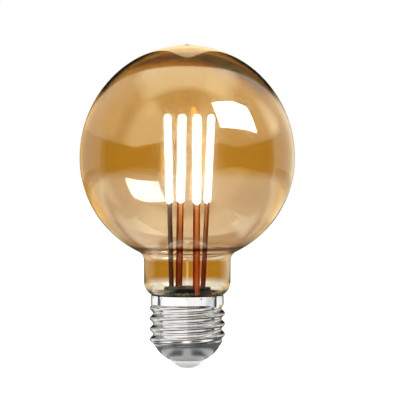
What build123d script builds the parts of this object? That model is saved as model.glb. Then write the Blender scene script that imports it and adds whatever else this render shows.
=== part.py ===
from build123d import *
import math
import os

# Globe bulb with four upright filaments on a screw cap, in millimetres.
# +Z runs up the bulb's own axis, and z = 0 is the end of the centre contact.

# Fits shared by the pieces
SEAT_GAP = 0.05
SLIDE_GAP = 0.15

# Centre contact, a domed button with a spigot
CONTACT_RADIUS = 5.75
CONTACT_HEIGHT = 2.75
CONTACT_FLAT_RADIUS = 1.8
SPIGOT_RADIUS = 2.0
SPIGOT_HEIGHT = 1.4

# Insulator, a glossy bowl gripped by the lip of the shell
BOWL_FOOT_RADIUS = 6.1
BOWL_RADIUS = 11.5
BOWL_HEIGHT = 5.2
BOWL_BULGE = 0.62
BOWL_FLOOR = 2.4
DISH_RADIUS = 9.3
GRIP_FLANGE_HEIGHT = 1.6

# Screw shell, rolled from thin sheet: a rounded thread between a turned lip and a plain collar
SHELL_WALL = 0.3
LIP_RADIUS = 11.8
LIP_WIDTH = 0.9
LIP_RISE = 1.3
THREAD_CREST_RADIUS = 13.2
THREAD_ROOT_RADIUS = 12.0
THREAD_PITCH = 3.629
THREAD_HEIGHT = 12.3
THREAD_START_ANGLE = 120.0
COLLAR_RISE = 0.7
COLLAR_RADIUS = 12.8
COLLAR_HEIGHT = 3.0
DIMPLE_COUNT = 16
DIMPLE_NOSE_RADIUS = 0.6
DIMPLE_DEPTH = 0.15
DIMPLE_DROP = 0.5

# Glass envelope: two half ellipsoids over a straight neck and a tucked-in mouth
GLASS_WALL = 0.8
GLOBE_RADIUS = 37.5
CROWN_RISE = 39.4
BELLY_DROP = 36.6
EQUATOR_RISE = 47.8
NECK_RADIUS = 15.1
NECK_FILLET = 3.4
SHOULDER_RADIUS = 5.5
MOUTH_RADIUS = 11.5
PIP_RADIUS = 0.5

# Cement between the mouth of the glass and the collar
CEMENT_HEIGHT = 2.0

# Filament base, a stepped plug in the mouth of the glass
PLUG_DEPTH = 6.7
PLUG_FLANGE_HEIGHT = 1.3
PLUG_STEP_DROP = 0.7
BOSS_RADIUS = 8.2
BOSS_RISE = 2.6
BOSS_EDGE = 0.4
SLOT_WIDTH = 3.4
SLOT_BACK_GAP = 0.4
PLUG_CAVITY_RADIUS = 4.0
PLUG_CAVITY_ROOF = 2.5

# Four filaments, each on a flat carrier strip between two lead wires
FILAMENT_COUNT = 4
FOOT_RING_RADIUS = 6.2
FOOT_ANGLE = 30.0
TIP_RING_RADIUS = 8.1
TIP_ANGLE = 18.8
CAGE_LEAN = 0.8
LEG_LENGTH = 32.6
FILAMENT_LENGTH = 31.2
FILAMENT_WIDTH = 3.0
FILAMENT_THICKNESS = 2.2
FILAMENT_EDGE = 1.0
STRIP_WIDTH = 1.3
STRIP_THICKNESS = 0.5
STRIP_GRIP = 5.0
WIRE_RADIUS = 0.33
WIRE_GRIP = 2.5

# Driver board and the components that hang below it
BOARD_THICKNESS = 1.0
BOARD_EDGE_GAP = 0.8
COMPONENT_RING_RADIUS = 5.5
LEAD_RADIUS = 0.3
CAPACITOR_RADIUS = 3.15
CAPACITOR_LENGTH = 7.0
CAPACITOR_EDGE = 0.5
CAPACITOR_CRIMP = 0.3
CAPACITOR_LEAD_SPACING = 2.5
CHOKE_RADIUS = 2.8
CHOKE_LENGTH = 6.0
CHOKE_FLANGE = 1.0
CHOKE_WINDING_RADIUS = 2.3
CHOKE_LEAD_SPACING = 3.0
RECTIFIER_LENGTH = 4.7
RECTIFIER_WIDTH = 3.9
RECTIFIER_LEGS_A_SIDE = 2
RECTIFIER_LEG_PITCH = 2.5
CHIP_LENGTH = 4.9
CHIP_WIDTH = 3.8
CHIP_LEGS_A_SIDE = 4
CHIP_LEG_PITCH = 1.27
PACKAGE_HEIGHT = 1.4
PACKAGE_EDGE = 0.25
PACKAGE_LEG_WIDTH = 0.4
PACKAGE_LEG_THICKNESS = 0.2
PACKAGE_LEG_REACH = 1.0
RESISTOR_RADIUS = 1.2
RESISTOR_END_RADIUS = 1.4
RESISTOR_END_LENGTH = 1.2
RESISTOR_LENGTH = 5.5
NEUTRAL_ANGLE = 120.0
NEUTRAL_TURN = 1
NEUTRAL_WIRE_RADIUS = 0.3
NEUTRAL_BEND_RADIUS = 1.0
NEUTRAL_EDGE_GAP = 1.2

# Heights of the stack, from the contact up
bowl_base_z = CONTACT_HEIGHT + SEAT_GAP
lip_z = bowl_base_z + BOWL_HEIGHT + SEAT_GAP
thread_z = lip_z + LIP_RISE
thread_end_z = thread_z + THREAD_HEIGHT
collar_z = thread_end_z + COLLAR_RISE
rim_z = collar_z + COLLAR_HEIGHT
flange_z = rim_z - PLUG_DEPTH
step_z = rim_z - PLUG_STEP_DROP
boss_top_z = rim_z + BOSS_RISE
mouth_z = flange_z + PLUG_FLANGE_HEIGHT + SEAT_GAP
equator_z = rim_z + EQUATOR_RISE
board_top_z = flange_z - SEAT_GAP
board_z = board_top_z - BOARD_THICKNESS

# The thread is a circle whose centre winds round the axis
thread_radius = (THREAD_CREST_RADIUS + THREAD_ROOT_RADIUS) / 2
thread_throw = (THREAD_CREST_RADIUS - THREAD_ROOT_RADIUS) / 2
thread_end_angle = THREAD_START_ANGLE + 360 * THREAD_HEIGHT / THREAD_PITCH
shell_inner_radius = THREAD_ROOT_RADIUS - SHELL_WALL
lip_bore_radius = LIP_RADIUS - LIP_WIDTH

os.makedirs("parts", exist_ok=True)


def keep(piece, label):
    """Labels a finished piece and writes it under the same name."""
    piece.part.label = label
    export_step(piece.part, f"parts/{label}.step")


# Centre contact: a shallow dome with a small flat, and a spigot drilled for the live lead
dome_centre_z = (CONTACT_RADIUS**2 + CONTACT_HEIGHT**2 - CONTACT_FLAT_RADIUS**2) / (2 * CONTACT_HEIGHT)
dome_radius = math.hypot(CONTACT_FLAT_RADIUS, dome_centre_z)
dome_mid_z = CONTACT_HEIGHT / 2
dome_mid_radius = math.sqrt(dome_radius**2 - (dome_centre_z - dome_mid_z) ** 2)
spigot_top_z = CONTACT_HEIGHT + SPIGOT_HEIGHT
with BuildPart() as centre_contact:
    with BuildSketch(Plane.XZ):
        with BuildLine():
            dome = ThreePointArc(
                (CONTACT_FLAT_RADIUS, 0),
                (dome_mid_radius, dome_mid_z),
                (CONTACT_RADIUS, CONTACT_HEIGHT),
            )
            Polyline(
                dome @ 1,
                (SPIGOT_RADIUS, CONTACT_HEIGHT),
                (SPIGOT_RADIUS, spigot_top_z),
                (0, spigot_top_z),
                (0, 0),
                dome @ 0,
            )
        make_face()
    revolve(axis=Axis.Z)
    with Locations((0, 0, spigot_top_z)):
        Hole(LEAD_RADIUS + SEAT_GAP, depth=SPIGOT_HEIGHT + CONTACT_HEIGHT / 2)
keep(centre_contact, "centre_contact")

# Insulator: a bowl with a grooved waist for the shell's lip, a dished inside and a bore for the spigot
waist_radius = lip_bore_radius - SEAT_GAP
grip_radius = LIP_RADIUS - SHELL_WALL - SLIDE_GAP
waist_top_z = lip_z + SHELL_WALL + SEAT_GAP
grip_top_z = waist_top_z + GRIP_FLANGE_HEIGHT
bowl_top_z = lip_z - SEAT_GAP
dish_floor_z = bowl_base_z + BOWL_FLOOR
with BuildPart() as insulator:
    with BuildSketch(Plane.XZ):
        with BuildLine():
            bowl = SagittaArc((BOWL_FOOT_RADIUS, bowl_base_z), (BOWL_RADIUS, bowl_top_z), -BOWL_BULGE)
            Polyline(
                bowl @ 1,
                (waist_radius, bowl_top_z),
                (waist_radius, waist_top_z),
                (grip_radius, waist_top_z),
                (grip_radius, grip_top_z),
                (DISH_RADIUS, grip_top_z),
                (BOWL_FOOT_RADIUS, dish_floor_z),
                (0, dish_floor_z),
                (0, bowl_base_z),
                bowl @ 0,
            )
        make_face()
    revolve(axis=Axis.Z)
    with Locations((0, 0, dish_floor_z)):
        Hole(SPIGOT_RADIUS + SEAT_GAP, depth=BOWL_FLOOR)
keep(insulator, "insulator")


def shell_ring(plane, outer_radius, throw=0.0, angle=0.0):
    """One level section of the sheet, off centre by the throw where it follows the thread."""
    with BuildSketch(plane) as ring:
        with PolarLocations(throw, 1, start_angle=angle):
            Circle(outer_radius)
            Circle(outer_radius - SHELL_WALL, mode=Mode.SUBTRACT)
    return ring.sketch


# Screw shell: the level section is swept up a helix as narrow as the throw, which rolls the thread
with BuildPart() as screw_shell:
    lip_section = shell_ring(Plane.XY.offset(lip_z), LIP_RADIUS)
    thread_start = shell_ring(Plane.XY.offset(thread_z), thread_radius, thread_throw, THREAD_START_ANGLE)
    thread_end = shell_ring(Plane.XY.offset(thread_end_z), thread_radius, thread_throw, thread_end_angle)
    collar_section = shell_ring(Plane.XY.offset(collar_z), COLLAR_RADIUS)
    with BuildLine(mode=Mode.PRIVATE) as winding:
        Helix(THREAD_PITCH, THREAD_HEIGHT, thread_throw, center=(0, 0, thread_z))
    thread_path = winding.line.rotate(Axis.Z, THREAD_START_ANGLE)
    sweep(thread_start, path=thread_path, normal=(0, 0, 1))
    loft([lip_section, thread_start])
    loft([thread_end, collar_section])
    extrude(collar_section, amount=COLLAR_HEIGHT)
    with BuildSketch(Plane.XY.offset(lip_z)):
        Circle(LIP_RADIUS)
        Circle(lip_bore_radius, mode=Mode.SUBTRACT)
    extrude(amount=SHELL_WALL)
    with PolarLocations(COLLAR_RADIUS + DIMPLE_NOSE_RADIUS - DIMPLE_DEPTH, DIMPLE_COUNT):
        with Locations((0, 0, rim_z - DIMPLE_DROP)):
            Sphere(DIMPLE_NOSE_RADIUS, mode=Mode.SUBTRACT)
keep(screw_shell, "screw_shell")

# Glass envelope: the shoulder is raised until it clears the rim of the collar
QUARTER_ROUND = 4 / 3 * math.tan(math.pi / 8)
shoulder_lean = SHOULDER_RADIUS - (NECK_RADIUS - COLLAR_RADIUS + SHELL_WALL)
shoulder_z = rim_z + SLIDE_GAP + math.sqrt(SHOULDER_RADIUS**2 - shoulder_lean**2)


def envelope_outline(inset, end_z):
    """Half section inside the outer face of the glass, moved inwards by the inset."""
    globe = GLOBE_RADIUS - inset
    neck = NECK_RADIUS - inset
    mouth = MOUTH_RADIUS - inset
    shoulder = SHOULDER_RADIUS - inset
    rise = CROWN_RISE - inset
    neck_angle = math.degrees(math.acos(neck / globe))
    tuck_angle = math.degrees(math.acos(1 - (neck - mouth) / shoulder))
    with BuildSketch(Plane.XZ) as half:
        with BuildLine():
            crown = Bezier(
                (globe, equator_z),
                (globe, equator_z + QUARTER_ROUND * rise),
                (QUARTER_ROUND * globe, equator_z + rise),
                (0, equator_z + rise),
            )
            belly = EllipticalCenterArc((0, equator_z), globe, BELLY_DROP - inset, 0, arc_size=-neck_angle)
            tuck = CenterArc((neck - shoulder, shoulder_z), shoulder, 0, -tuck_angle)
            Line(belly @ 1, tuck @ 0)
            Polyline(tuck @ 1, (mouth, end_z), (0, end_z), crown @ 1)
        make_face()
    return half.sketch


def neck_corner(part, radius):
    """The round edge where the belly meets the neck of the given radius."""
    rings = part.edges().filter_by(GeomType.CIRCLE)
    return rings.filter_by(lambda edge: abs(edge.radius - radius) < SEAT_GAP).sort_by(Axis.Z)[-1]


with BuildPart() as glass_globe:
    revolve(envelope_outline(0, mouth_z) - envelope_outline(GLASS_WALL, mouth_z - GLASS_WALL), axis=Axis.Z)
    fillet(neck_corner(glass_globe, NECK_RADIUS), NECK_FILLET)
    fillet(neck_corner(glass_globe, NECK_RADIUS - GLASS_WALL), NECK_FILLET + GLASS_WALL)
    with Locations((0, 0, equator_z + CROWN_RISE)):
        Sphere(PIP_RADIUS)
keep(glass_globe, "glass_globe")

# Cement ring: fills the collar around the glass, so its inside is cut to the envelope
with BuildPart() as cement_ring:
    with BuildSketch(Plane.XY.offset(collar_z + SEAT_GAP)):
        Circle(COLLAR_RADIUS - SHELL_WALL - SEAT_GAP)
    extrude(amount=CEMENT_HEIGHT)
    revolve(envelope_outline(-SEAT_GAP, mouth_z), axis=Axis.Z, mode=Mode.SUBTRACT)
keep(cement_ring, "cement_ring")

# Lines of the four legs: each plane stands on the plug's step, with x along the leg's flat side
tip_z = step_z + LEG_LENGTH + FILAMENT_LENGTH
leg_planes = []
for number in range(FILAMENT_COUNT):
    turn = 360 / FILAMENT_COUNT * number
    foot_angle = math.radians(FOOT_ANGLE + turn)
    tip_angle = math.radians(TIP_ANGLE + turn)
    across = Vector(-math.sin(foot_angle), math.cos(foot_angle))
    foot = Vector(math.cos(foot_angle), math.sin(foot_angle)) * FOOT_RING_RADIUS + Vector(0, 0, step_z)
    tip = Vector(math.cos(tip_angle), math.sin(tip_angle)) * TIP_RING_RADIUS + Vector(CAGE_LEAN, 0, tip_z)
    leg_planes.append(Plane(origin=foot, x_dir=across, z_dir=tip - foot))
wire_offset = STRIP_WIDTH / 2 + SEAT_GAP + WIRE_RADIUS
wire_places = [(-wire_offset, 0), (wire_offset, 0)]
wire_depth = step_z - board_z

# Filament base: a moulded plug with a flange under the glass, and an open slot for each leg
slot_back_radius = FOOT_RING_RADIUS - STRIP_THICKNESS / 2 - SLOT_BACK_GAP
slot_length = BOSS_RADIUS
with BuildPart() as filament_base:
    with BuildSketch(Plane.XY.offset(flange_z)):
        Circle(shell_inner_radius - SLIDE_GAP)
    extrude(amount=PLUG_FLANGE_HEIGHT)
    with BuildSketch(Plane.XY.offset(flange_z)):
        Circle(MOUTH_RADIUS - GLASS_WALL - SLIDE_GAP)
    extrude(amount=step_z - flange_z)
    with BuildSketch(Plane.XY.offset(step_z)):
        Circle(BOSS_RADIUS)
        with PolarLocations(slot_back_radius + slot_length / 2, FILAMENT_COUNT, start_angle=FOOT_ANGLE):
            Rectangle(slot_length, SLOT_WIDTH, mode=Mode.SUBTRACT)
    extrude(amount=boss_top_z - step_z)
    fillet(filament_base.faces().sort_by(Axis.Z)[-1].edges(), BOSS_EDGE)
    with BuildSketch(Plane.XY.offset(flange_z)):
        Circle(PLUG_CAVITY_RADIUS)
    extrude(amount=boss_top_z - PLUG_CAVITY_ROOF - flange_z, mode=Mode.SUBTRACT)
    for plane in leg_planes:
        with BuildSketch(plane.offset(-wire_depth)):
            with Locations(*wire_places):
                Circle(WIRE_RADIUS + SEAT_GAP)
        extrude(amount=wire_depth + WIRE_RADIUS, mode=Mode.SUBTRACT)
keep(filament_base, "filament_base")

# Legs and filaments: strip and wires rise from the base and end inside the glowing coat
for number, plane in enumerate(leg_planes, start=1):
    with BuildPart() as carrier_strip:
        with BuildSketch(plane.offset(SEAT_GAP)):
            Rectangle(STRIP_WIDTH, STRIP_THICKNESS)
        extrude(amount=LEG_LENGTH + STRIP_GRIP - SEAT_GAP)
    keep(carrier_strip, f"carrier_strip_{number}")

    for side, place in zip(("left", "right"), wire_places):
        with BuildPart() as lead_wire:
            with BuildSketch(plane.offset(SEAT_GAP - wire_depth)):
                with Locations(place):
                    Circle(WIRE_RADIUS)
            extrude(amount=wire_depth + LEG_LENGTH + WIRE_GRIP - SEAT_GAP)
        keep(lead_wire, f"lead_wire_{number}_{side}")

    side_plane = Plane(origin=plane.origin, x_dir=plane.z_dir, z_dir=plane.y_dir)
    with BuildPart() as filament:
        with BuildSketch(side_plane):
            with Locations((LEG_LENGTH + FILAMENT_LENGTH / 2, 0)):
                SlotOverall(FILAMENT_LENGTH, FILAMENT_WIDTH)
        extrude(amount=FILAMENT_THICKNESS / 2, both=True)
        fillet(filament.edges(), FILAMENT_EDGE)
        with BuildSketch(plane.offset(LEG_LENGTH)):
            Rectangle(STRIP_WIDTH + 2 * SEAT_GAP, STRIP_THICKNESS + 2 * SEAT_GAP)
        extrude(amount=STRIP_GRIP + SEAT_GAP, mode=Mode.SUBTRACT)
        with BuildSketch(plane.offset(LEG_LENGTH)):
            with Locations(*wire_places):
                Circle(WIRE_RADIUS + SEAT_GAP)
        extrude(amount=WIRE_GRIP + SEAT_GAP, mode=Mode.SUBTRACT)
    keep(filament, f"filament_{number}")

# Places of the components, midway between the legs, with x pointing outwards
board_radius = shell_inner_radius - BOARD_EDGE_GAP
component_planes = []
for number in range(FILAMENT_COUNT):
    angle = math.radians(FOOT_ANGLE + (number + 0.5) * 360 / FILAMENT_COUNT)
    outwards = Vector(math.cos(angle), math.sin(angle))
    place = outwards * COMPONENT_RING_RADIUS + Vector(0, 0, board_z - SEAT_GAP)
    component_planes.append(Plane(origin=place, x_dir=outwards, z_dir=(0, 0, -1)))
rectifier_plane, capacitor_plane, chip_plane, choke_plane = component_planes
capacitor_leads = [(0, -CAPACITOR_LEAD_SPACING / 2), (0, CAPACITOR_LEAD_SPACING / 2)]
choke_leads = [(0, -CHOKE_LEAD_SPACING / 2), (0, CHOKE_LEAD_SPACING / 2)]
neutral_angle = math.radians(NEUTRAL_ANGLE)
neutral_outwards = Vector(math.cos(neutral_angle), math.sin(neutral_angle))
neutral_plane = Plane(
    origin=(0, 0, 0),
    x_dir=neutral_outwards,
    z_dir=neutral_outwards.cross(Vector(0, 0, 1)),
)
neutral_radius = board_radius - NEUTRAL_EDGE_GAP

# Driver board: a round card drilled for the lead wires and the leads of its components
with BuildPart() as driver_board:
    with BuildSketch(Plane.XY.offset(board_z)):
        Circle(board_radius)
        Circle(LEAD_RADIUS + SEAT_GAP, mode=Mode.SUBTRACT)
        with Locations(neutral_outwards * neutral_radius):
            Circle(NEUTRAL_WIRE_RADIUS + SEAT_GAP, mode=Mode.SUBTRACT)
    extrude(amount=BOARD_THICKNESS)
    for plane in leg_planes:
        with BuildSketch(plane.offset(-wire_depth - BOARD_THICKNESS)):
            with Locations(*wire_places):
                Circle(WIRE_RADIUS + SEAT_GAP)
        extrude(amount=3 * BOARD_THICKNESS, mode=Mode.SUBTRACT)
    for plane, leads in ((capacitor_plane, capacitor_leads), (choke_plane, choke_leads)):
        with BuildSketch(plane):
            with Locations(*leads):
                Circle(LEAD_RADIUS + SEAT_GAP)
        extrude(amount=-2 * BOARD_THICKNESS, mode=Mode.SUBTRACT)
keep(driver_board, "driver_board")

# Capacitor: a drawn can with a rolled crimp, on two leads
crimp_z = CAPACITOR_LENGTH / 5
with BuildPart() as capacitor:
    with BuildSketch(capacitor_plane):
        Circle(CAPACITOR_RADIUS)
    extrude(amount=CAPACITOR_LENGTH)
    fillet(capacitor.edges().sort_by(Axis.Z)[0], CAPACITOR_EDGE)
    with BuildSketch(capacitor_plane.offset(crimp_z)):
        Circle(CAPACITOR_RADIUS)
        Circle(CAPACITOR_RADIUS - CAPACITOR_CRIMP, mode=Mode.SUBTRACT)
    extrude(amount=CAPACITOR_CRIMP, mode=Mode.SUBTRACT)
    with BuildSketch(capacitor_plane):
        with Locations(*capacitor_leads):
            Circle(LEAD_RADIUS)
    extrude(amount=-BOARD_THICKNESS)
keep(capacitor, "capacitor")

# Choke: a wire winding between the two flanges of a drum core
with BuildPart() as choke:
    with BuildSketch(choke_plane):
        Circle(CHOKE_RADIUS)
    extrude(amount=CHOKE_FLANGE)
    with BuildSketch(choke_plane):
        Circle(CHOKE_WINDING_RADIUS)
    extrude(amount=CHOKE_LENGTH)
    with BuildSketch(choke_plane.offset(CHOKE_LENGTH - CHOKE_FLANGE)):
        Circle(CHOKE_RADIUS)
    extrude(amount=CHOKE_FLANGE)
    with BuildSketch(choke_plane):
        with Locations(*choke_leads):
            Circle(LEAD_RADIUS)
    extrude(amount=-BOARD_THICKNESS)
keep(choke, "choke")


def flat_package(plane, length, width, legs_a_side, leg_pitch):
    """A moulded package under the board, with flat legs along its two long sides."""
    with BuildPart() as package:
        with BuildSketch(plane):
            Rectangle(width, length)
        extrude(amount=PACKAGE_HEIGHT)
        chamfer(package.faces().sort_by(Axis.Z)[0].edges(), PACKAGE_EDGE)
        with BuildSketch(plane):
            with GridLocations(0, leg_pitch, 1, legs_a_side):
                Rectangle(width + 2 * PACKAGE_LEG_REACH, PACKAGE_LEG_WIDTH)
        extrude(amount=PACKAGE_LEG_THICKNESS)
    return package


rectifier = flat_package(
    rectifier_plane, RECTIFIER_LENGTH, RECTIFIER_WIDTH, RECTIFIER_LEGS_A_SIDE, RECTIFIER_LEG_PITCH
)
keep(rectifier, "bridge_rectifier")
driver_chip = flat_package(chip_plane, CHIP_LENGTH, CHIP_WIDTH, CHIP_LEGS_A_SIDE, CHIP_LEG_PITCH)
keep(driver_chip, "driver_chip")

# Fuse resistor: stands on the axis, with one lead in the board and the other in the contact
resistor_middle_z = (board_z + grip_top_z) / 2
resistor_top_z = resistor_middle_z + RESISTOR_LENGTH / 2
resistor_base_z = resistor_middle_z - RESISTOR_LENGTH / 2
lead_base_z = CONTACT_HEIGHT
with BuildPart() as fuse_resistor:
    with BuildSketch(Plane.XZ):
        with BuildLine():
            Polyline(
                (0, lead_base_z),
                (LEAD_RADIUS, lead_base_z),
                (LEAD_RADIUS, resistor_base_z),
                (RESISTOR_END_RADIUS, resistor_base_z),
                (RESISTOR_END_RADIUS, resistor_base_z + RESISTOR_END_LENGTH),
                (RESISTOR_RADIUS, resistor_base_z + RESISTOR_END_LENGTH),
                (RESISTOR_RADIUS, resistor_top_z - RESISTOR_END_LENGTH),
                (RESISTOR_END_RADIUS, resistor_top_z - RESISTOR_END_LENGTH),
                (RESISTOR_END_RADIUS, resistor_top_z),
                (LEAD_RADIUS, resistor_top_z),
                (LEAD_RADIUS, board_top_z),
                (0, board_top_z),
                close=True,
            )
        make_face()
    revolve(axis=Axis.Z)
keep(fuse_resistor, "fuse_resistor")

# Neutral wire: drops from the edge of the board and bends out to a root of the thread
root_turns = (NEUTRAL_ANGLE + 180 - THREAD_START_ANGLE) / 360 + NEUTRAL_TURN
neutral_end_z = thread_z + THREAD_PITCH * root_turns
with BuildPart() as neutral_wire:
    with BuildLine(neutral_plane):
        neutral_route = FilletPolyline(
            (neutral_radius, board_top_z),
            (neutral_radius, neutral_end_z),
            (shell_inner_radius - SEAT_GAP, neutral_end_z),
            radius=NEUTRAL_BEND_RADIUS,
        )
    with BuildSketch(Plane(origin=neutral_route @ 0, z_dir=neutral_route % 0)):
        Circle(NEUTRAL_WIRE_RADIUS)
    sweep(path=neutral_route)
keep(neutral_wire, "neutral_wire")
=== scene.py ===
import math

import bmesh
import bpy
from mathutils import Matrix, Vector


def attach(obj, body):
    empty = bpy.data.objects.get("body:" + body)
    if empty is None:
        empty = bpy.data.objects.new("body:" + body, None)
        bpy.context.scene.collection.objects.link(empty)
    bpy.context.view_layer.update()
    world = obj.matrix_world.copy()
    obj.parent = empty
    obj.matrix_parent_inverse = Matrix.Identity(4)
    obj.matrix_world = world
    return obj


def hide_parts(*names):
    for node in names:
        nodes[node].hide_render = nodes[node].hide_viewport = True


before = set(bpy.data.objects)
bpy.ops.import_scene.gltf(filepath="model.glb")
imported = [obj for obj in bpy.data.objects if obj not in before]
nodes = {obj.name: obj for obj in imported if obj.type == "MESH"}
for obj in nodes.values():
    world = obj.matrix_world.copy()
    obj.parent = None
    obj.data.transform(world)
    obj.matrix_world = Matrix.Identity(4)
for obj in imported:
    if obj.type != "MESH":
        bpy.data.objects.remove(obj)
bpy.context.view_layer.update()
scene = bpy.context.scene

# Centre contact: a small tinned button, turned from brass with a shallow dome below and a
# spigot above. The spigot is held in the bore of the insulator and takes the live lead.
mm = 0.001
contact_radius, contact_height, contact_flat = 5.75, 2.75, 1.8
spigot_radius, spigot_top = 2.0, 4.15
lead_bore, lead_bore_end = 0.35, 1.375
contact_edge, contact_flat_edge = 0.18, 0.3
crease_angle = math.radians(38)


def start_at(bm, radius, height):
    """First point of a half section, given in millimetres."""
    return bm.verts.new((radius * mm, 0, height * mm))


def line_to(bm, vert, radius, height):
    """Extrudes the last point of a half section to a new place."""
    end = bmesh.ops.extrude_vert_indiv(bm, verts=[vert])["verts"][0]
    end.co = (radius * mm, 0, height * mm)
    return end


def arc_to(bm, vert, centre_radius, centre_height, degrees, steps):
    """Turns the last point of a half section about a centre, counter-clockwise when positive."""
    out = bmesh.ops.spin(
        bm, geom=[vert], cent=(centre_radius * mm, 0, centre_height * mm), axis=(0, -1, 0),
        angle=math.radians(degrees), steps=steps,
    )
    return [g for g in out["geom_last"] if isinstance(g, bmesh.types.BMVert)][0]


def full_turn(bm, steps):
    """Spins the half section about the axis of the bulb and closes seam and poles."""
    bmesh.ops.spin(
        bm, geom=bm.verts[:] + bm.edges[:], cent=(0, 0, 0), axis=(0, 0, 1),
        angle=math.tau, steps=steps, use_merge=True,
    )
    bmesh.ops.remove_doubles(bm, verts=bm.verts[:], dist=0.001 * mm)
    bmesh.ops.recalc_face_normals(bm, faces=bm.faces[:])


def round_ring(bm, radius, height, size, segments):
    """Bevels the round edge that stands at a radius and a height."""
    near = 0.01 * mm

    def on_ring(vert):
        off_radius = math.hypot(vert.co.x, vert.co.y) - radius * mm
        return abs(off_radius) < near and abs(vert.co.z - height * mm) < near

    edges = [edge for edge in bm.edges if all(on_ring(vert) for vert in edge.verts)]
    bmesh.ops.bevel(
        bm, geom=edges, offset=size * mm, offset_type="OFFSET", segments=segments,
        profile=0.5, affect="EDGES", material=-1, clamp_overlap=True,
    )


def piece(bm, name, material, slot, *replaced):
    """Makes the finished mesh a piece of the bulb that stands for the CAD nodes named."""
    mesh = bpy.data.meshes.new(name)
    bm.to_mesh(mesh)
    bm.free()
    mesh.shade_smooth()
    mesh.set_sharp_from_angle(angle=crease_angle)
    mesh.materials.append(material)
    made = bpy.data.objects.new(name, mesh)
    scene.collection.objects.link(made)
    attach(made, "root")
    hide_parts(*replaced)
    return made


mottle = bpy.data.node_groups.new("fine_mottle", "ShaderNodeTree")
for socket, default in (("Scale", 400.0), ("Stretch", 1.0), ("Low", 0.0), ("High", 1.0)):
    added = mottle.interface.new_socket(socket, in_out="INPUT", socket_type="NodeSocketFloat")
    added.default_value = default
for socket in ("Value", "Mask"):
    mottle.interface.new_socket(socket, in_out="OUTPUT", socket_type="NodeSocketFloat")
group_in = mottle.nodes.new("NodeGroupInput")
group_out = mottle.nodes.new("NodeGroupOutput")
place = mottle.nodes.new("ShaderNodeTexCoord")
stretch = mottle.nodes.new("ShaderNodeCombineXYZ")
stretch.inputs[0].default_value = 1.0
stretch.inputs[1].default_value = 1.0
drawn = mottle.nodes.new("ShaderNodeVectorMath")
drawn.operation = "MULTIPLY"
cloud = mottle.nodes.new("ShaderNodeTexNoise")
cloud.inputs["Detail"].default_value = 4.0
spread = mottle.nodes.new("ShaderNodeMapRange")
spread.inputs["From Min"].default_value = 0.32
spread.inputs["From Max"].default_value = 0.68
levels = mottle.nodes.new("ShaderNodeMapRange")
for source, target in (
    (group_in.outputs["Stretch"], stretch.inputs[2]),
    (place.outputs["Object"], drawn.inputs[0]),
    (stretch.outputs[0], drawn.inputs[1]),
    (drawn.outputs[0], cloud.inputs["Vector"]),
    (group_in.outputs["Scale"], cloud.inputs["Scale"]),
    (cloud.outputs["Fac"], spread.inputs["Value"]),
    (spread.outputs[0], levels.inputs["Value"]),
    (group_in.outputs["Low"], levels.inputs["To Min"]),
    (group_in.outputs["High"], levels.inputs["To Max"]),
    (levels.outputs[0], group_out.inputs["Value"]),
    (spread.outputs[0], group_out.inputs["Mask"]),
):
    mottle.links.new(source, target)


def blank(name):
    """A new material, its tree and its shader."""
    material = bpy.data.materials.new(name)
    material.use_nodes = True
    tree = material.node_tree
    return material, tree, tree.nodes["Principled BSDF"]


def mottled(tree, scale, low, high, stretch=1.0):
    """Places the mottle group with its own values."""
    node = tree.nodes.new("ShaderNodeGroup")
    node.node_tree = mottle
    node.inputs["Scale"].default_value = scale
    node.inputs["Stretch"].default_value = stretch
    node.inputs["Low"].default_value = low
    node.inputs["High"].default_value = high
    return node


def tinted(tree, mask, first, second):
    """Two colours, each written or from a socket, mixed by a mask."""
    mix = tree.nodes.new("ShaderNodeMix")
    mix.data_type = "RGBA"
    for slot, colour in ((mix.inputs[6], first), (mix.inputs[7], second)):
        if isinstance(colour, bpy.types.NodeSocket):
            tree.links.new(colour, slot)
        else:
            slot.default_value = (*colour, 1)
    tree.links.new(mask, mix.inputs[0])
    return mix.outputs[2]


def raised(tree, shader, height, strength, depth):
    """Bump from a height that changes over the surface."""
    bump = tree.nodes.new("ShaderNodeBump")
    bump.inputs["Strength"].default_value = strength
    bump.inputs["Distance"].default_value = depth * mm
    tree.links.new(height, bump.inputs["Height"])
    tree.links.new(bump.outputs[0], shader.inputs["Normal"])


def two_shades(name, first, second, scale, rough, metallic):
    """A finish with two shades and an uneven gloss from one cloud, and the cloud's mask."""
    material, tree, shader = blank(name)
    cloud = mottled(tree, scale, *rough)
    tree.links.new(tinted(tree, cloud.outputs["Mask"], first, second), shader.inputs["Base Color"])
    tree.links.new(cloud.outputs["Value"], shader.inputs["Roughness"])
    shader.inputs["Metallic"].default_value = metallic
    return material, tree, shader, cloud.outputs["Mask"]


dome_rise = (contact_radius**2 + contact_height**2 - contact_flat**2) / (2 * contact_height)
dome_size = math.hypot(contact_flat, dome_rise)
dome_turn = math.asin(contact_radius / dome_size) - math.asin(contact_flat / dome_size)
bm = bmesh.new()
point = start_at(bm, 0, 0)
point = line_to(bm, point, contact_flat, 0)
point = arc_to(bm, point, 0, dome_rise, math.degrees(dome_turn), 14)
for corner in (
    (spigot_radius, contact_height), (spigot_radius, spigot_top), (lead_bore, spigot_top),
    (lead_bore, lead_bore_end), (0, lead_bore_end),
):
    point = line_to(bm, point, *corner)
full_turn(bm, 96)
round_ring(bm, contact_radius, contact_height, contact_edge, 3)
round_ring(bm, contact_flat, 0, contact_flat_edge, 3)
tin, tree, shader, _ = two_shades(
    "satin_tin", (0.86, 0.855, 0.84), (0.74, 0.73, 0.71), 900, (0.26, 0.42), 1,
)
place = tree.nodes.new("ShaderNodeTexCoord")
turning = tree.nodes.new("ShaderNodeTexWave")
turning.wave_type = "RINGS"
turning.rings_direction = "Z"
turning.inputs["Scale"].default_value = 900
turning.inputs["Distortion"].default_value = 0.4
tree.links.new(place.outputs["Object"], turning.inputs["Vector"])
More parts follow.
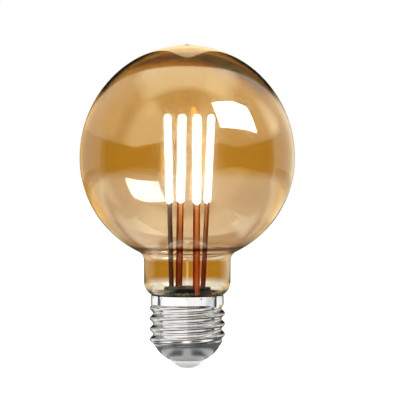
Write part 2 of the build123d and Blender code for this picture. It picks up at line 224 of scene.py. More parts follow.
raised(tree, shader, turning.outputs["Fac"], 0.12, 0.02)
button = piece(bm, "contact_button", tin, "contact_metal", "centre_contact")

# Insulator: a bowl of dark vitreous glass, pressed and fire polished. Its waist is gripped by
# the lip of the shell, and the contact is seated in the middle of its foot.
bowl_foot, bowl_base = 6.1, 2.8
bowl_radius, bowl_top, bowl_bulge = 11.5, 8.0, 0.62
waist_radius, waist_top = 10.85, 8.4
flange_radius, flange_top = 11.35, 10.0
dish_radius, dish_floor = 9.3, 5.2
spigot_bore = 2.05
bowl_foot_edge, bowl_top_edge = 0.25, 0.3
chord = math.hypot(bowl_radius - bowl_foot, bowl_top - bowl_base)
bowl_round = (chord**2 / 4 + bowl_bulge**2) / (2 * bowl_bulge)
bowl_turn = 2 * math.degrees(math.asin(chord / 2 / bowl_round))
inwards = (bowl_round - bowl_bulge) / chord
bowl_centre = (
    (bowl_foot + bowl_radius) / 2 - inwards * (bowl_top - bowl_base),
    (bowl_base + bowl_top) / 2 + inwards * (bowl_radius - bowl_foot),
)
bm = bmesh.new()
first = start_at(bm, bowl_foot, bowl_base)
point = arc_to(bm, first, *bowl_centre, bowl_turn, 18)
for corner in (
    (waist_radius, bowl_top), (waist_radius, waist_top), (flange_radius, waist_top),
    (flange_radius, flange_top), (dish_radius, flange_top), (bowl_foot, dish_floor),
    (spigot_bore, dish_floor), (spigot_bore, bowl_base),
):
    point = line_to(bm, point, *corner)
bm.edges.new((point, first))
full_turn(bm, 128)
round_ring(bm, bowl_foot, bowl_base, bowl_foot_edge, 4)
round_ring(bm, bowl_radius, bowl_top, bowl_top_edge, 4)
vitreous, tree, shader, _ = two_shades(
    "grey_vitreous", (0.385, 0.382, 0.378), (0.35, 0.347, 0.344), 260, (0.2, 0.3), 0.72,
)
ripple = mottled(tree, 120, 0, 1)
raised(tree, shader, ripple.outputs["Mask"], 0.15, 0.03)
bowl = piece(bm, "insulator_bowl", vitreous, "grey_insulator", "insulator")

# Screw shell: thin brass sheet, drawn to a cup, rolled into a round thread and nickel plated.
# Its lip is turned in round the waist of the bowl, and its collar is punched with dimples.
shell_wall = 0.3
lip_bore, lip_radius, lip_z = 10.9, 11.8, 8.05
lip_corner = ((-0.25, 0), (-0.07, 0.08), (0, 0.25))
lip_top_z = lip_z + lip_corner[-1][1]
thread_z, thread_end_z, thread_pitch = 9.35, 21.65, 3.629
thread_radius, thread_throw, thread_start = 12.6, 0.6, 120.0
collar_radius, collar_z, rim_z = 12.8, 22.35, 25.35
collar_levels = (22.6, 23.0, 23.5, 24.0, 24.25, 24.4, 24.55, 24.7, 24.85, 25.0, 25.15, 25.28, rim_z)
dimple_count, dimple_drop, dimple_reach, dimple_depth = 16, 0.5, 0.3, 0.12
sides, steps_a_turn, blend_steps = 192, 40, 8
bm = bmesh.new()
bmesh.ops.create_circle(bm, cap_ends=False, segments=sides, radius=lip_bore * mm)
bmesh.ops.translate(bm, verts=bm.verts[:], vec=(0, 0, lip_z * mm))
level = {"edges": bm.edges[:], "centre": Vector((0, 0, lip_z)), "radius": lip_bore}


def raise_sheet(radius, throw, angle, height):
    """Draws the open edge of the sheet on to the next level section."""
    out = bmesh.ops.extrude_edge_only(bm, edges=level["edges"])["geom"]
    verts = [g for g in out if isinstance(g, bmesh.types.BMVert)]
    turn = math.radians(angle)
    centre = Vector((throw * math.cos(turn), throw * math.sin(turn), height))
    growth = radius / level["radius"]
    to_centre = Matrix.Translation(-level["centre"] * mm)
    bmesh.ops.scale(bm, vec=(growth, growth, 1), space=to_centre, verts=verts)
    bmesh.ops.translate(bm, verts=verts, vec=(centre - level["centre"]) * mm)
    level["edges"] = [g for g in out if isinstance(g, bmesh.types.BMEdge)]
    level["centre"], level["radius"] = centre, radius


def eased(share):
    """Soft start and stop between two sections of the sheet."""
    return share * share * (3 - 2 * share)


for out, rise in lip_corner:
    raise_sheet(lip_radius + out, 0, 0, lip_z + rise)
for step in range(1, blend_steps + 1):
    share = eased(step / blend_steps)
    radius = lip_radius + (thread_radius - lip_radius) * share
    height = lip_top_z + (thread_z - lip_top_z) * step / blend_steps
    raise_sheet(radius, thread_throw * share, thread_start, height)
thread_steps = round(steps_a_turn * (thread_end_z - thread_z) / thread_pitch)
for step in range(1, thread_steps + 1):
    rise = (thread_end_z - thread_z) * step / thread_steps
    angle = thread_start + 360 * rise / thread_pitch
    raise_sheet(thread_radius, thread_throw, angle, thread_z + rise)
for step in range(1, blend_steps + 1):
    share = eased(step / blend_steps)
    radius = thread_radius + (collar_radius - thread_radius) * share
    height = thread_end_z + (collar_z - thread_end_z) * step / blend_steps
    raise_sheet(radius, thread_throw * (1 - share), angle, height)
for height in collar_levels:
    raise_sheet(collar_radius, 0, 0, height)
for number in range(dimple_count):
    turn = math.tau * number / dimple_count
    nose = Vector((math.cos(turn), math.sin(turn), 0)) * collar_radius * mm
    nose.z = (rim_z - dimple_drop) * mm
    for vert in bm.verts:
        share = (vert.co - nose).length / (dimple_reach * mm)
        if share < 1:
            outwards = Vector((vert.co.x, vert.co.y, 0)).normalized()
            vert.co -= outwards * dimple_depth * mm * (1 - share**2)
bmesh.ops.recalc_face_normals(bm, faces=bm.faces[:])
rim_face = max(bm.faces, key=lambda face: face.calc_center_median().z)
if rim_face.normal.dot(Vector((*rim_face.calc_center_median().xy, 0))) < 0:
    bmesh.ops.reverse_faces(bm, faces=bm.faces[:])
bmesh.ops.solidify(bm, geom=bm.faces[:], thickness=shell_wall * mm)
nickel, tree, shader, _ = two_shades(
    "bright_nickel", (0.86, 0.855, 0.845), (0.78, 0.775, 0.765), 180, (0.09, 0.14), 1,
)
draw_lines = mottled(tree, 60, 0, 1, 40.0)
raised(tree, shader, draw_lines.outputs["Mask"], 0.02, 0.02)
shell = piece(bm, "rolled_screw_shell", nickel, "plated_shell", "screw_shell")

# Driver: a round card of glass-epoxy with its rectifier, chip, can, choke and fuse resistor,
# and the neutral wire to the thread. It is hidden in the cap with the cement that holds the
# glass, and all of these keep their CAD solids.


def dress(material, *names):
    """Gives CAD nodes a finish."""
    for name in names:
        nodes[name].data.materials.clear()
        nodes[name].data.materials.append(material)


for name, first, second, scale, rough, metallic, relief, *dressed in (
    ("driver_card", (0.03, 0.12, 0.05), (0.05, 0.17, 0.08), 700, (0.35, 0.5), 0, 0.2,
     "driver_board"),
    ("black_moulding", (0.012, 0.012, 0.013), (0.025, 0.025, 0.026), 1500, (0.45, 0.6), 0, 0.3,
     "bridge_rectifier", "driver_chip"),
    ("sleeved_can", (0.03, 0.035, 0.05), (0.05, 0.055, 0.07), 500, (0.3, 0.42), 0, 0.1,
     "capacitor"),
    ("ferrite_core", (0.035, 0.033, 0.032), (0.06, 0.057, 0.055), 1200, (0.5, 0.7), 0, 0.4,
     "choke"),
    ("resistor_lacquer", (0.28, 0.33, 0.36), (0.36, 0.4, 0.42), 900, (0.3, 0.45), 0, 0.2,
     "fuse_resistor"),
    ("tinned_copper", (0.62, 0.4, 0.27), (0.5, 0.3, 0.2), 1100, (0.25, 0.4), 1, 0.1,
     "neutral_wire"),
    ("basing_cement", (0.62, 0.58, 0.5), (0.5, 0.46, 0.39), 900, (0.7, 0.9), 0, 0.6,
     "cement_ring"),
):
    material, tree, shader, mask = two_shades(name, first, second, scale, rough, metallic)
    raised(tree, shader, mask, relief, 0.02)
    dress(material, *dressed)

# Filament base: a black moulded plug in the mouth of the glass, with an open slot for each leg.
# It keeps its CAD solid, with a finely etched matt face and pale cement smeared on its flange
# round the boss.
boss_edge, cement_edge = 8.4, 9.2


def axes_of(tree):
    """The place of a surface point along the three axes of the bulb, in metres."""
    place = tree.nodes.new("ShaderNodeTexCoord")
    axes = tree.nodes.new("ShaderNodeSeparateXYZ")
    tree.links.new(place.outputs["Object"], axes.inputs[0])
    return axes.outputs


def math_of(tree, operation, first, second=0):
    """One step of arithmetic between sockets or numbers."""
    node = tree.nodes.new("ShaderNodeMath")
    node.operation = operation
    for slot, value in zip(node.inputs, (first, second)):
        if isinstance(value, (int, float)):
            slot.default_value = value
        else:
            tree.links.new(value, slot)
    return node.outputs[0]


def product_of(tree, first, *others):
    """Sockets or numbers multiplied together."""
    for other in others:
        first = math_of(tree, "MULTIPLY", first, other)
    return first


def reach_of(tree, x, y):
    """Distance from the axis of the bulb."""
    squares = math_of(tree, "ADD", product_of(tree, x, x), product_of(tree, y, y))
    return math_of(tree, "SQRT", squares)


def ramp_of(tree, value, start, end, low=0.0, high=1.0):
    """Soft ramp of a socket's value between two places."""
    node = tree.nodes.new("ShaderNodeMapRange")
    node.interpolation_type = "SMOOTHSTEP"
    for name, number in (("From Min", start), ("From Max", end), ("To Min", low), ("To Max", high)):
        node.inputs[name].default_value = number
    tree.links.new(value, node.inputs["Value"])
    return node.outputs[0]


plug_black, tree, shader = blank("black_plug")
etching = mottled(tree, 1300, 0.4, 0.58)
black = tinted(tree, etching.outputs["Mask"], (0.0035, 0.0033, 0.0032), (0.007, 0.0065, 0.006))
x, y, _ = axes_of(tree)
smeared = ramp_of(tree, reach_of(tree, x, y), boss_edge * mm, cement_edge * mm)
tree.links.new(tinted(tree, smeared, black, (0.85, 0.62, 0.3)), shader.inputs["Base Color"])
tree.links.new(etching.outputs["Value"], shader.inputs["Roughness"])
shader.inputs["Specular IOR Level"].default_value = 0.1
raised(tree, shader, etching.outputs["Mask"], 0.35, 0.02)
dress(plug_black, "filament_base")

# Legs: a gold-plated carrier strip between two red enamelled lead wires under each filament.
# Strip and wires rise from the slots of the base and end inside the filament's coat. They are
# darker and redder towards the foot, and each leg has a painted shade of its own.
dark_foot_z, bright_z = 34.0, 56.0
# Painted shade: one brightness for each leg, lower for the legs turned away from the light.
painted_leg_shading = (0.85, 0.8, 0.4, 1.25)


def leg_finish(name, shade, upper, lower, metallic):
    """A finish that goes from one colour at the foot to another higher up."""
    material, tree, shader = blank(name)
    drawing = mottled(tree, 800, 0.35, 0.5, 0.3)
    _, _, height = axes_of(tree)
    from_foot = ramp_of(tree, height, dark_foot_z * mm, bright_z * mm)
    streaks = product_of(tree, drawing.outputs["Mask"], 0.12)
    brightness = math_of(tree, "ADD", from_foot, streaks)
    upper = [shade * part for part in upper]
    lower = [shade * part for part in lower]
    tree.links.new(tinted(tree, brightness, lower, upper), shader.inputs["Base Color"])
    tree.links.new(drawing.outputs["Value"], shader.inputs["Roughness"])
    shader.inputs["Metallic"].default_value = metallic
    raised(tree, shader, drawing.outputs["Mask"], 0.15, 0.02)
    return material


for number, shade in enumerate(painted_leg_shading, 1):
    gold = leg_finish(f"gold_strip_{number}", shade, (0.95, 0.42, 0.05), (0.62, 0.13, 0.015), 0.15)
    enamel = leg_finish(f"red_enamel_{number}", shade, (0.3, 0.02, 0.006), (0.42, 0.022, 0.006), 0)
    dress(gold, f"carrier_strip_{number}")
    dress(enamel, f"lead_wire_{number}_left", f"lead_wire_{number}_right")

# Filaments: a row of tiny chips on a strip under a rounded coat of phosphor silicone. Lit, the
# coat glows evenly from end to end. Each rod stands on its leg and leans a little with it.
filament_count = 4
filament_width, filament_thickness, filament_length = 3.0, 2.2, 31.2
leg_length, leg_foot_z = 32.6, 24.65
foot_ring, foot_angle = 6.2, 30.0
tip_ring, tip_angle, cage_lean = 8.1, 18.8, 0.8
glow, tree, shader, mask = two_shades(
    "lit_phosphor", (1.0, 0.86, 0.5), (1.0, 0.8, 0.42), 450, (0.35, 0.5), 0,
)
light = tinted(tree, mask, (1.0, 0.93, 0.78), (1.0, 0.9, 0.7))
tree.links.new(light, shader.inputs["Emission Color"])
shader.inputs["Emission Strength"].default_value = 5.0
end_round = filament_width / 2
tip_z = leg_foot_z + leg_length + filament_length
for number in range(1, filament_count + 1):
    turn = math.tau * (number - 1) / filament_count
    foot_turn, tip_turn = math.radians(foot_angle) + turn, math.radians(tip_angle) + turn
    foot = Vector((foot_ring * math.cos(foot_turn), foot_ring * math.sin(foot_turn), leg_foot_z))
    tip = Vector((tip_ring * math.cos(tip_turn) + cage_lean, tip_ring * math.sin(tip_turn), tip_z))
    upwards = (tip - foot).normalized()
    across = Vector((-math.sin(foot_turn), math.cos(foot_turn), 0))
    across = (across - upwards * across.dot(upwards)).normalized()
    through = upwards.cross(across)
    bm = bmesh.new()
    point = start_at(bm, 0, 0)
    point = arc_to(bm, point, 0, end_round, 90, 10)
    point = line_to(bm, point, end_round, filament_length - end_round)
    arc_to(bm, point, 0, filament_length - end_round, 90, 10)
    full_turn(bm, 32)
    bmesh.ops.scale(bm, vec=(1, filament_thickness / filament_width, 1), verts=bm.verts[:])
    turned = Matrix((across, through, upwards)).transposed().to_4x4()
    start = (foot + upwards * leg_length) * mm
    bmesh.ops.transform(bm, matrix=Matrix.Translation(start) @ turned, verts=bm.verts[:])
    rod = piece(bm, f"filament_rod_{number}", glow, "filament_coat", f"filament_{number}")
    rod.visible_glossy = False

# Glass globe: blown glass with a straight neck, tucked in at the mouth to sit in the cap, and a
# small pip on top where it was sealed. Its amber is a lustre on the outer face, under a fine film
# of dust. The lustre is painted paler at the mouth, where the neck meets the belly and low on the
# belly, as painted reflection.
glass_wall = 0.8
globe_radius, crown_rise, belly_drop, equator_z = 37.5, 39.4, 36.6, 73.15
neck_radius, mouth_radius, mouth_z = 15.1, 11.5, 20.0
shoulder_radius, shoulder_z = 5.5, 30.17
corner_lead, corner_drop, corner_round, neck_levels = 4.2, 2.6, 2.1, 7
pip_radius = 0.5
pip_foot = 3 * pip_radius
# Height of the painted dark line above the corner of the neck.
painted_line_rise = 2.7
tuck_turn = math.degrees(math.acos(1 - (neck_radius - mouth_radius) / shoulder_radius))
neck_turn = math.degrees(math.acos(neck_radius / globe_radius))
corner_z = equator_z - belly_drop * math.sin(math.radians(neck_turn))
bm = bmesh.new()
equator = start_at(bm, globe_radius, 0)
arc_to(bm, equator, 0, 0, 90, 48)
bmesh.ops.scale(bm, vec=(1, 1, crown_rise / globe_radius), verts=bm.verts[:])
above = set(bm.verts)
point = arc_to(bm, equator, 0, 0, corner_lead - neck_turn, 36)
below = [vert for vert in bm.verts if vert not in above]
bmesh.ops.scale(bm, vec=(1, 1, belly_drop / globe_radius), verts=below)
bmesh.ops.translate(bm, verts=bm.verts[:], vec=(0, 0, equator_z * mm))
point = line_to(bm, point, neck_radius, corner_z)
neck_top = corner_z - corner_drop
for number in range(neck_levels + 1):
    height = neck_top + (shoulder_z - neck_top) * number / neck_levels
    point = line_to(bm, point, neck_radius, height)
point = arc_to(bm, point, neck_radius - shoulder_radius, shoulder_z, -tuck_turn, 14)
line_to(bm, point, mouth_radius, mouth_z)
full_turn(bm, 192)
round_ring(bm, neck_radius, corner_z, corner_round, 10)
bmesh.ops.solidify(bm, geom=bm.faces[:], thickness=glass_wall * mm)
for vert in bm.verts:
    share = vert.co.xy.length / (pip_foot * mm)
    if share < 1 and vert.co.z > (equator_z + crown_rise - glass_wall / 2) * mm:
        vert.co.z += pip_radius * mm * (1 - share**2) ** 2
outside_layer = bm.faces.layers.float.new("outside")
for face in bm.faces:
    middle = face.calc_center_median()
    outwards = Vector((middle.x, middle.y, max(0, middle.z - equator_z * mm)))
    face[outside_layer] = 1.0 if face.normal.dot(outwards) > 0 else 0.0


def most_of(tree, first, *others):
    """The largest of sockets or numbers."""
    for other in others:
        first = math_of(tree, "MAXIMUM", first, other)
    return first


def rest_of(tree, share):
    """What a share leaves of one."""
    return math_of(tree, "SUBTRACT", 1, share)


def mirrored_ray(tree, path):
    """One for a ray that a surface has mirrored, and zero for the others."""
    return math_of(tree, "MINIMUM", path.outputs["Glossy Depth"], 1)


amber, tree, shader = blank("amber_glass")
melt = mottled(tree, 22, 0.0, 0.012)
_, _, height = axes_of(tree)
# Painted reflection: the lustre is paler at the mouth, over the neck corner and low on the belly.
at_mouth = ramp_of(tree, height, 28.5 * mm, 31.5 * mm, 1, 0)
over_neck = ramp_of(tree, height, 36.5 * mm, 39.0 * mm, 0, 0.5)
neck_corner = product_of(tree, over_neck, ramp_of(tree, height, 40.5 * mm, 42.0 * mm, 1, 0))
under_belly = ramp_of(tree, height, 64.0 * mm, 68.5 * mm, 0.27, 0)
low_belly = product_of(tree, under_belly, ramp_of(tree, height, 40.5 * mm, 43.0 * mm))
painted_paleness = most_of(tree, at_mouth, neck_corner, low_belly)
slant = tree.nodes.new("ShaderNodeLayerWeight").outputs["Facing"]
lustre = tinted(tree, melt.outputs["Mask"], (0.635, 0.273, 0.0155), (0.605, 0.256, 0.0135))
lustre = tinted(tree, painted_paleness, lustre, (1.0, 0.87, 0.6))
lustre = tinted(tree, ramp_of(tree, slant, 0.4, 0.85), lustre, (1.0, 0.42, 0.055))
clear = tinted(tree, ramp_of(tree, slant, 0.45, 0.9), (0.99, 0.98, 0.95), (1.0, 0.7, 0.42))

# Light takes the lustre's colour on its way out of the bulb, unless a surface mirrored it.
side = tree.nodes.new("ShaderNodeAttribute")
side.attribute_name = "outside"
outside = side.outputs["Fac"]
backfacing = tree.nodes.new("ShaderNodeNewGeometry").outputs["Backfacing"]
path = tree.nodes.new("ShaderNodeLightPath")
reflected = mirrored_ray(tree, path)
outbound = math_of(tree, "SUBTRACT", math_of(tree, "ADD", backfacing, outside), 1)
outbound = math_of(tree, "ABSOLUTE", outbound)
entering = product_of(tree, outside, rest_of(tree, backfacing))
colour = tinted(tree, product_of(tree, outbound, rest_of(tree, reflected)), clear, lustre)
# Painted shade: for a ray a mirror sends on to the globe, the outer face is a dark amber, which darkens
# the globe where the cap mirrors it.
colour = tinted(tree, product_of(tree, entering, reflected), colour, (0.2, 0.08, 0.01))

# A dark line is painted round the glass a little above the neck, on the faces that light meets on
# its way in: painted shade for the dark that the bend of the glass shows there.
painted_line_z = corner_z + painted_line_rise
from_painted_line = math_of(tree, "ABSOLUTE", math_of(tree, "SUBTRACT", height, painted_line_z * mm))
painted_line_falloff = ramp_of(tree, from_painted_line, 0.2 * mm, 0.7 * mm, 1, 0)
# The painted dark line is kept to the faces that light meets on its way in.
seam = product_of(tree, painted_line_falloff, rest_of(tree, outbound))
tree.links.new(tinted(tree, seam, colour, (0.17, 0.06, 0.015)), shader.inputs["Base Color"])

# The film on the outer face is specks too small to see, which spread the glow of the filaments.
film = mottled(tree, 60000, 0, 1)
specks = product_of(
    tree, ramp_of(tree, film.outputs["Mask"], 0.71, 0.79, 0, 0.24), entering,
    ramp_of(tree, height, 46.0 * mm, 60.0 * mm),
)
tree.links.new(math_of(tree, "ADD", melt.outputs["Value"], specks), shader.inputs["Roughness"])
shader.inputs["Transmission Weight"].default_value = 1.0
shader.inputs["IOR"].default_value = 1.8
shader.inputs["Specular Tint"].default_value = (1.0, 0.97, 0.62, 1)
raised(tree, shader, melt.outputs["Mask"], 0.03, 0.05)
globe = piece(bm, "blown_globe", amber, "amber_glass", "glass_globe")

# Studio floor: a plain white board that takes the shadow of the bulb. Mirrored, it is dark but
# for pale patches under the cap, in front of the bulb and at both sides, warmer towards the back;
# the dark and the spots close round the bulb are a painted shadow.
floor_front, floor_back, floor_side = 190.0, 2500.0, 270.0


def stage_piece(bm, name):
    """Makes a mesh a piece of the studio, with a material that has no shader yet."""
    mesh = bpy.data.meshes.new(name)
    bm.to_mesh(mesh)
    bm.free()
    made = bpy.data.objects.new(name, mesh)
    scene.collection.objects.link(made)
    material = bpy.data.materials.new(name)
    material.use_nodes = True
    mesh.materials.append(material)
    tree = material.node_tree
    tree.nodes.remove(tree.nodes["Principled BSDF"])
    return made, tree


def between(tree, share, first, second):
    """A number from one socket to another by a share."""
    mix = tree.nodes.new("ShaderNodeMix")
    tree.links.new(share, mix.inputs[0])
    tree.links.new(first, mix.inputs[2])
    tree.links.new(second, mix.inputs[3])
    return mix.outputs[0]


bm = bmesh.new()
bmesh.ops.create_grid(bm, x_segments=1, y_segments=1, size=1)
half_depth = (floor_front + floor_back) / 2
bmesh.ops.scale(bm, vec=(floor_side * mm, half_depth * mm, 1), verts=bm.verts[:])
bmesh.ops.translate(bm, verts=bm.verts[:], vec=(0, (half_depth - floor_front) * mm, 0))
_, tree = stage_piece(bm, "studio_floor")
x, y, _ = axes_of(tree)
off_side = math_of(tree, "ABSOLUTE", x)
reach = reach_of(tree, x, y)
# Painted shadow and light under the cap, seen only in mirrors: pale under the contact, with two dark
# spots at its sides, and dark beyond.
ring_shade = product_of(
    tree, ramp_of(tree, reach, 7.5 * mm, 9.5 * mm), ramp_of(tree, off_side, 1.0 * mm, 4.0 * mm),
    ramp_of(tree, off_side, 7.5 * mm, 11.0 * mm, 1, 0),
)
contact_light = ramp_of(tree, reach, 3.0 * mm, 8.0 * mm, 0.68, 1.2)
ring_light = ramp_of(tree, reach, 11.5 * mm, 14.5 * mm, 0.02, 0.75)
under_cap = product_of(
    tree, between(tree, ring_shade, contact_light, ring_light),
    ramp_of(tree, reach, 14.0 * mm, 17.0 * mm, 1, 0.05),
)
right_front = product_of(
    tree, ramp_of(tree, x, 0, 12.0 * mm, 0, 0.85), ramp_of(tree, x, 42.0 * mm, 54.0 * mm, 1, 0),
)
near_floor = product_of(
    tree, ramp_of(tree, reach, 18.0 * mm, 28.0 * mm, 0, 0.9),
    ramp_of(tree, reach, 50.0 * mm, 120.0 * mm, 1, 0), ramp_of(tree, y, 15.0 * mm, 50.0 * mm, 1, 0),
    ramp_of(tree, off_side, 12.0 * mm, 26.0 * mm), rest_of(tree, right_front),
)
side_floor = product_of(
    tree, ramp_of(tree, off_side, 30.0 * mm, 70.0 * mm, 0, 0.75),
    ramp_of(tree, y, 20.0 * mm, 60.0 * mm), ramp_of(tree, y, 200.0 * mm, 450.0 * mm, 1, 0),
)
far_floor = ramp_of(tree, y, 250.0 * mm, 600.0 * mm, 0.12, 0.03)
floor_mirrored = most_of(tree, under_cap, near_floor, side_floor, far_floor)

# Seen directly the board is white with a shadow, and seen through the glass it is plain white.
path = tree.nodes.new("ShaderNodeLightPath")
reflected = mirrored_ray(tree, path)
matt = tree.nodes.new("ShaderNodeBsdfDiffuse")
matt.inputs["Color"].default_value = (0.5, 0.5, 0.5, 1)
lit = tree.nodes.new("ShaderNodeEmission")
both = tree.nodes.new("ShaderNodeAddShader")
shown = tree.nodes.new("ShaderNodeEmission")
choice = tree.nodes.new("ShaderNodeMixShader")
warmth = product_of(tree, ramp_of(tree, y, 30.0 * mm, 100.0 * mm), reflected)
by_glass = math_of(tree, "ADD", path.outputs["Glossy Depth"], path.outputs["Transmission Depth"])
not_mirrored = rest_of(tree, reflected)
mirrored_part = product_of(tree, reflected, floor_mirrored)
for source, target in (
    (product_of(tree, path.outputs["Is Camera Ray"], 0.78), lit.inputs["Strength"]),
    (tinted(tree, warmth, (1, 1, 1), (1, 0.76, 0.4)), shown.inputs["Color"]),
    (math_of(tree, "ADD", not_mirrored, mirrored_part), shown.inputs["Strength"]),
    (matt.outputs[0], both.inputs[0]),
    (lit.outputs[0], both.inputs[1]),
    (math_of(tree, "MINIMUM", by_glass, 1), choice.inputs[0]),
    (both.outputs[0], choice.inputs[1]),
    (shown.outputs[0], choice.inputs[2]),
    (choice.outputs[0], tree.nodes["Material Output"].inputs["Surface"]),
):
    tree.links.new(source, target)

# Reflector cards: for the glass a soft box up on the right and a warm card at either side, and
# for the cap pale aprons on the floor and low borders round it. Only mirrored rays see them, so
# they shape the gloss and light nothing.
glass_only = bpy.data.collections.new("glass_only")
glass_only.objects.link(globe)
cap_only = bpy.data.collections.new("cap_only")
for part in (shell, button, bowl):
    cap_only.objects.link(part)


def reflector(name, bm, receivers, radiance, colour=(1, 1, 1), fade=None, soft_edges=(), share=1.0,
              through_glass=False):
    """A glowing card of a mesh in millimetres, with a fade along one axis where wanted."""
    bmesh.ops.scale(bm, vec=(mm, mm, mm), verts=bm.verts[:])
    card, tree = stage_piece(bm, name)
    clear = tree.nodes.new("ShaderNodeBsdfTransparent")
    shine = tree.nodes.new("ShaderNodeEmission")
    shine.inputs["Color"].default_value = (*colour, 1)
    shine.inputs["Strength"].default_value = radiance
    path = tree.nodes.new("ShaderNodeLightPath")
    axes = axes_of(tree)
    shown = mirrored_ray(tree, path)
    if through_glass:
        off_once = math_of(tree, "SUBTRACT", path.outputs["Glossy Depth"], 1)
        off_once = math_of(tree, "ABSOLUTE", off_once)
        shown = rest_of(tree, math_of(tree, "MINIMUM", off_once, 1))
    shown = product_of(tree, shown, share)
    for axis, start, end in soft_edges:
        shown = product_of(tree, shown, ramp_of(tree, axes[axis], start * mm, end * mm))
    if fade:
        axis, start, end, low = fade
        level = ramp_of(tree, axes[axis], start * mm, end * mm, low * radiance, radiance)
        tree.links.new(level, shine.inputs["Strength"])
    choice = tree.nodes.new("ShaderNodeMixShader")
    tree.links.new(shown, choice.inputs[0])
    tree.links.new(clear.outputs[0], choice.inputs[1])
    tree.links.new(shine.outputs[0], choice.inputs[2])
    tree.links.new(choice.outputs[0], tree.nodes["Material Output"].inputs["Surface"])
    card.light_linking.receiver_collection = receivers
    card.visible_camera = False
    card.visible_diffuse = False
    card.visible_shadow = False
    card.visible_transmission = through_glass


def flat_card(*corners):
    """One flat face through its corners."""
    bm = bmesh.new()
    bm.faces.new([bm.verts.new(corner) for corner in corners])
    return bm


def round_card(radius, foot_height, top_height, start, end):
    """A strip of a cylinder about the bulb, between two angles counted from the camera's side."""
    bm = bmesh.new()
    first = math.radians(start - 90)
    foot = bm.verts.new((radius * math.cos(first), radius * math.sin(first), foot_height))
    top = bm.verts.new((foot.co.x, foot.co.y, top_height))
    edge = bm.edges.new((foot, top))
    bmesh.ops.spin(
        bm, geom=[foot, top, edge], cent=(0, 0, 0), axis=(0, 0, 1),
        angle=math.radians(end - start), steps=12,
    )
    return bm


soft_box = flat_card(
    (176, -228, 446), (282, -96, 389), (346, -32, 346), (444, -65, 220), (261, -338, 298),
)
reflector(
    "soft_box", soft_box, glass_only, 16.0, (0.95, 1.0, 1.3), fade=(1, -340, -180, 0.5),
    through_glass=True,
)
card_near, card_far, card_foot, card_top = -24, 130, 18, 124
for name, x, radiance, colour in (
    ("left", -62, 2.5, (1, 0.52, 0.08)), ("right", 62, 3.0, (1, 0.8, 0.46)),
):
    beside_globe = flat_card(
        (x, card_near, card_foot), (x, card_far, card_foot),
        (x, card_far, card_top), (x, card_near, card_top),
    )
    reflector(
        f"side_card_{name}", beside_globe, glass_only, radiance, colour,
        soft_edges=((1, 0, 45), (2, 16, 30), (2, 122, 104)), share=0.45,
    )
apron_z = 0.2
for name, half_width, front, back, radiance, fade in (
    ("near_apron", 60, -36, -22, 0.35, (0, 22, -12, 0.12)),
    ("floor_apron", 70, -70, -36, 0.6, (0, 25, -15, 0.04)),
):
    apron = flat_card(
        (-half_width, front, apron_z), (half_width, front, apron_z),
        (half_width, back, apron_z), (-half_width, back, apron_z),
    )
    reflector(name, apron, cap_only, radiance, fade=fade)
for name, start, end, radius, foot, top, radiance, fade, soft_edges in (
    ("front_left", -90, 8, 68, 0, 68, 1.3, (2, 46, 28, 0.2), ((1, 2, -14), (0, 8, -4))),
    ("front_right", -4, 64, 70, 6, 68, 1.15, (2, 34, 26, 0.06), ((1, -30, -48),)),
    ("side_right", 40, 94, 72, 0, 44, 0.85, (2, 13, 18, 0.14), ((1, 2, -12),)),
    ("back_left", -140, -104, 270, 0, 40, 1.2, None, ()),
    ("back_right", 104, 140, 270, 0, 40, 1.2, None, ()),
    ("rear_left", -180, -140, 270, 0, 40, 0.4, None, ()),
    ("rear_right", 140, 180, 270, 0, 40, 0.4, None, ()),
):
    border = round_card(radius, foot, top, start, end)
    reflector(f"border_{name}", border, cap_only, radiance, fade=fade, soft_edges=soft_edges)

# Room: white behind the bulb for the camera and through the glass, but for a dark red beam that
# shows through the crown. Mirrored, it is a plain room with a pale ceiling, a window at either
# side and a roof light, and dark walls at the camera's side.
world = bpy.data.worlds.new("studio_room")
scene.world = world
world.use_nodes = True
tree = world.node_tree
backing = tree.nodes["Background"]
path = tree.nodes.new("ShaderNodeLightPath")
look = tree.nodes.new("ShaderNodeTexCoord")
axes = tree.nodes.new("ShaderNodeSeparateXYZ")
tree.links.new(look.outputs["Generated"], axes.inputs[0])
aside, away, up = axes.outputs
off_side = math_of(tree, "ABSOLUTE", aside)
aside_squared = product_of(tree, aside, aside)
up_squared = product_of(tree, up, up)
up_and_away = product_of(tree, up, away)

# The ceiling begins over the nearest wall, and a dark gap and a roof light cross it.
ceiling_slope, room_breadth, ceiling_light, wall_light = 0.311, 1.55, 0.55, 0.015
side_wall = math_of(tree, "DIVIDE", off_side, room_breadth)
wall_top = product_of(tree, most_of(tree, side_wall, product_of(tree, away, -1)), ceiling_slope)
over_wall = ramp_of(tree, math_of(tree, "SUBTRACT", up, wall_top), -0.02, 0.02)
overhead = product_of(
    tree, ramp_of(tree, away, -0.45, -0.15), ramp_of(tree, up, 0.6, 0.85, 0, 1.8),
    ramp_of(tree, off_side, 0.4, 0.75, 1, 0.4),
)
left_window = product_of(
    tree, ramp_of(tree, aside, -0.6, -0.2, 1.3, 0), ramp_of(tree, away, -0.45, -0.1, 1, 0.3),
)
right_window = product_of(
    tree, ramp_of(tree, aside, 0.62, 0.85, 0, 1.5), ramp_of(tree, up, 0.12, 0.28),
    ramp_of(tree, away, 0.05, 0.4),
)
ceiling = most_of(tree, overhead, left_window, right_window, ceiling_light)
backdrop = product_of(tree, ramp_of(tree, away, 0.26, 0.32), ramp_of(tree, aside, -0.8, 0.8, 0.3, 0.45))
paler = most_of(tree, product_of(tree, over_wall, ceiling), backdrop)


def curved_edge(up_share, aside_share):
    """Edge of a field in the ceiling, curved across the room."""
    rise = product_of(tree, up_squared, up_share)
    return math_of(tree, "ADD", rise, product_of(tree, aside_squared, aside_share))


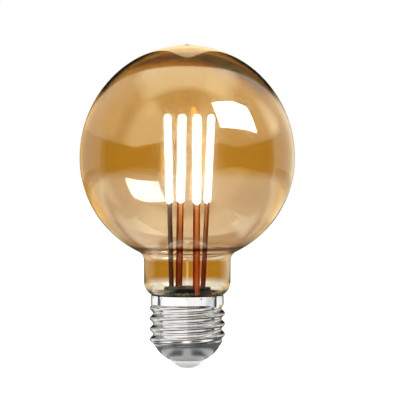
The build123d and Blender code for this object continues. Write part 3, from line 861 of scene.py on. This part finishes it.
from_gap = math_of(tree, "SUBTRACT", curved_edge(0.283, 1.14), up_and_away)
off_axis = math_of(tree, "ADD", aside_squared, up_squared)
mirrored = product_of(
    tree, paler, ramp_of(tree, from_gap, -0.03, 0.03), ramp_of(tree, off_axis, 0.02, 0.14, 0.2),
)
in_roof = math_of(tree, "SUBTRACT", up_and_away, curved_edge(0.666, 20.0))
roof_light = ramp_of(tree, in_roof, -0.03, 0.03, 0, 1.35)
mirrored = math_of(tree, "ADD", math_of(tree, "ADD", mirrored, roof_light), wall_light)

# Seen through the glass the beam is dark, and the light that reaches the legs is stronger from
# the right.
beam_foot = math_of(tree, "ADD", up, product_of(tree, aside, 0.25))
from_beam = math_of(tree, "ABSOLUTE", math_of(tree, "SUBTRACT", aside, 0.03))
beam = product_of(
    tree, ramp_of(tree, beam_foot, 0.04, 0.075), ramp_of(tree, up, 0.1, 0.13, 1, 0),
    ramp_of(tree, math_of(tree, "SUBTRACT", up, from_beam), -0.03, 0.01),
    ramp_of(tree, aside, -0.04, 0.05, 0.85, 1),
)
from_legs = math_of(tree, "MINIMUM", path.outputs["Diffuse Depth"], 1)
leg_fill = product_of(tree, from_legs, ramp_of(tree, aside, -0.5, 0.6, -0.7, 3.6))
through_glass = path.outputs["Is Transmission Ray"]
seen_through = product_of(
    tree, rest_of(tree, beam), through_glass, math_of(tree, "ADD", leg_fill, 1),
)
room_fill = product_of(tree, path.outputs["Is Diffuse Ray"], 0.55)
unmirrored = math_of(tree, "ADD", seen_through, room_fill)
reflected = mirrored_ray(tree, path)
from_behind = product_of(
    tree, ramp_of(tree, away, 0.2, 0.5), ramp_of(tree, off_side, 0.2, 0.45, 1, 0),
)
mirrored_colour = tinted(tree, from_behind, (1, 0.99, 0.94), (1, 0.8, 0.5))
beam_colour = tinted(tree, product_of(tree, beam, through_glass), (1, 1, 1), (1, 0.15, 0.05))
strength = most_of(tree, between(tree, reflected, unmirrored, mirrored), path.outputs["Is Camera Ray"])
tree.links.new(tinted(tree, reflected, beam_colour, mirrored_colour), backing.inputs["Color"])
tree.links.new(strength, backing.inputs["Strength"])

# Soft lamps: one wide lamp over the right shoulder of the camera and a weaker one on the left.
# Both face the lower half of the bulb, and no gloss or glass shows them.
lamp_aim = Vector((0, 0, 0.05))
for name, spot, size, power in (
    ("key_lamp", (0.5, -0.6, 0.9), 0.6, 9.0),
    ("fill_lamp", (-0.7, -0.5, 0.5), 0.6, 3.5),
):
    lamp = bpy.data.lights.new(name, "AREA")
    lamp.size = size
    lamp.energy = power
    holder = bpy.data.objects.new(name, lamp)
    holder.location = spot
    holder.rotation_euler = (lamp_aim - Vector(spot)).to_track_quat("-Z", "Y").to_euler()
    holder.visible_glossy = False
    holder.visible_transmission = False
    scene.collection.objects.link(holder)

# Camera: a metre in front of the bulb, level with the upper half of its globe, and tipped down
# a little.
camera_distance, camera_height, camera_aside = 1.0, 0.0935, 0.00443
aim_height, half_view = 0.05856, 0.06976
aim_drop = camera_height - aim_height
lens = bpy.data.cameras.new("camera")
lens.sensor_width = 36.0
lens.sensor_height = 36.0
lens.angle = 2 * math.atan(half_view / math.hypot(camera_distance, aim_drop))
lens.clip_start = 0.01
camera = bpy.data.objects.new("camera", lens)
camera.location = (camera_aside, -camera_distance, camera_height)
camera.rotation_euler = (math.pi / 2 - math.atan(aim_drop / camera_distance), 0, 0)
scene.collection.objects.link(camera)
scene.camera = camera

scene.view_settings.view_transform = "Standard"
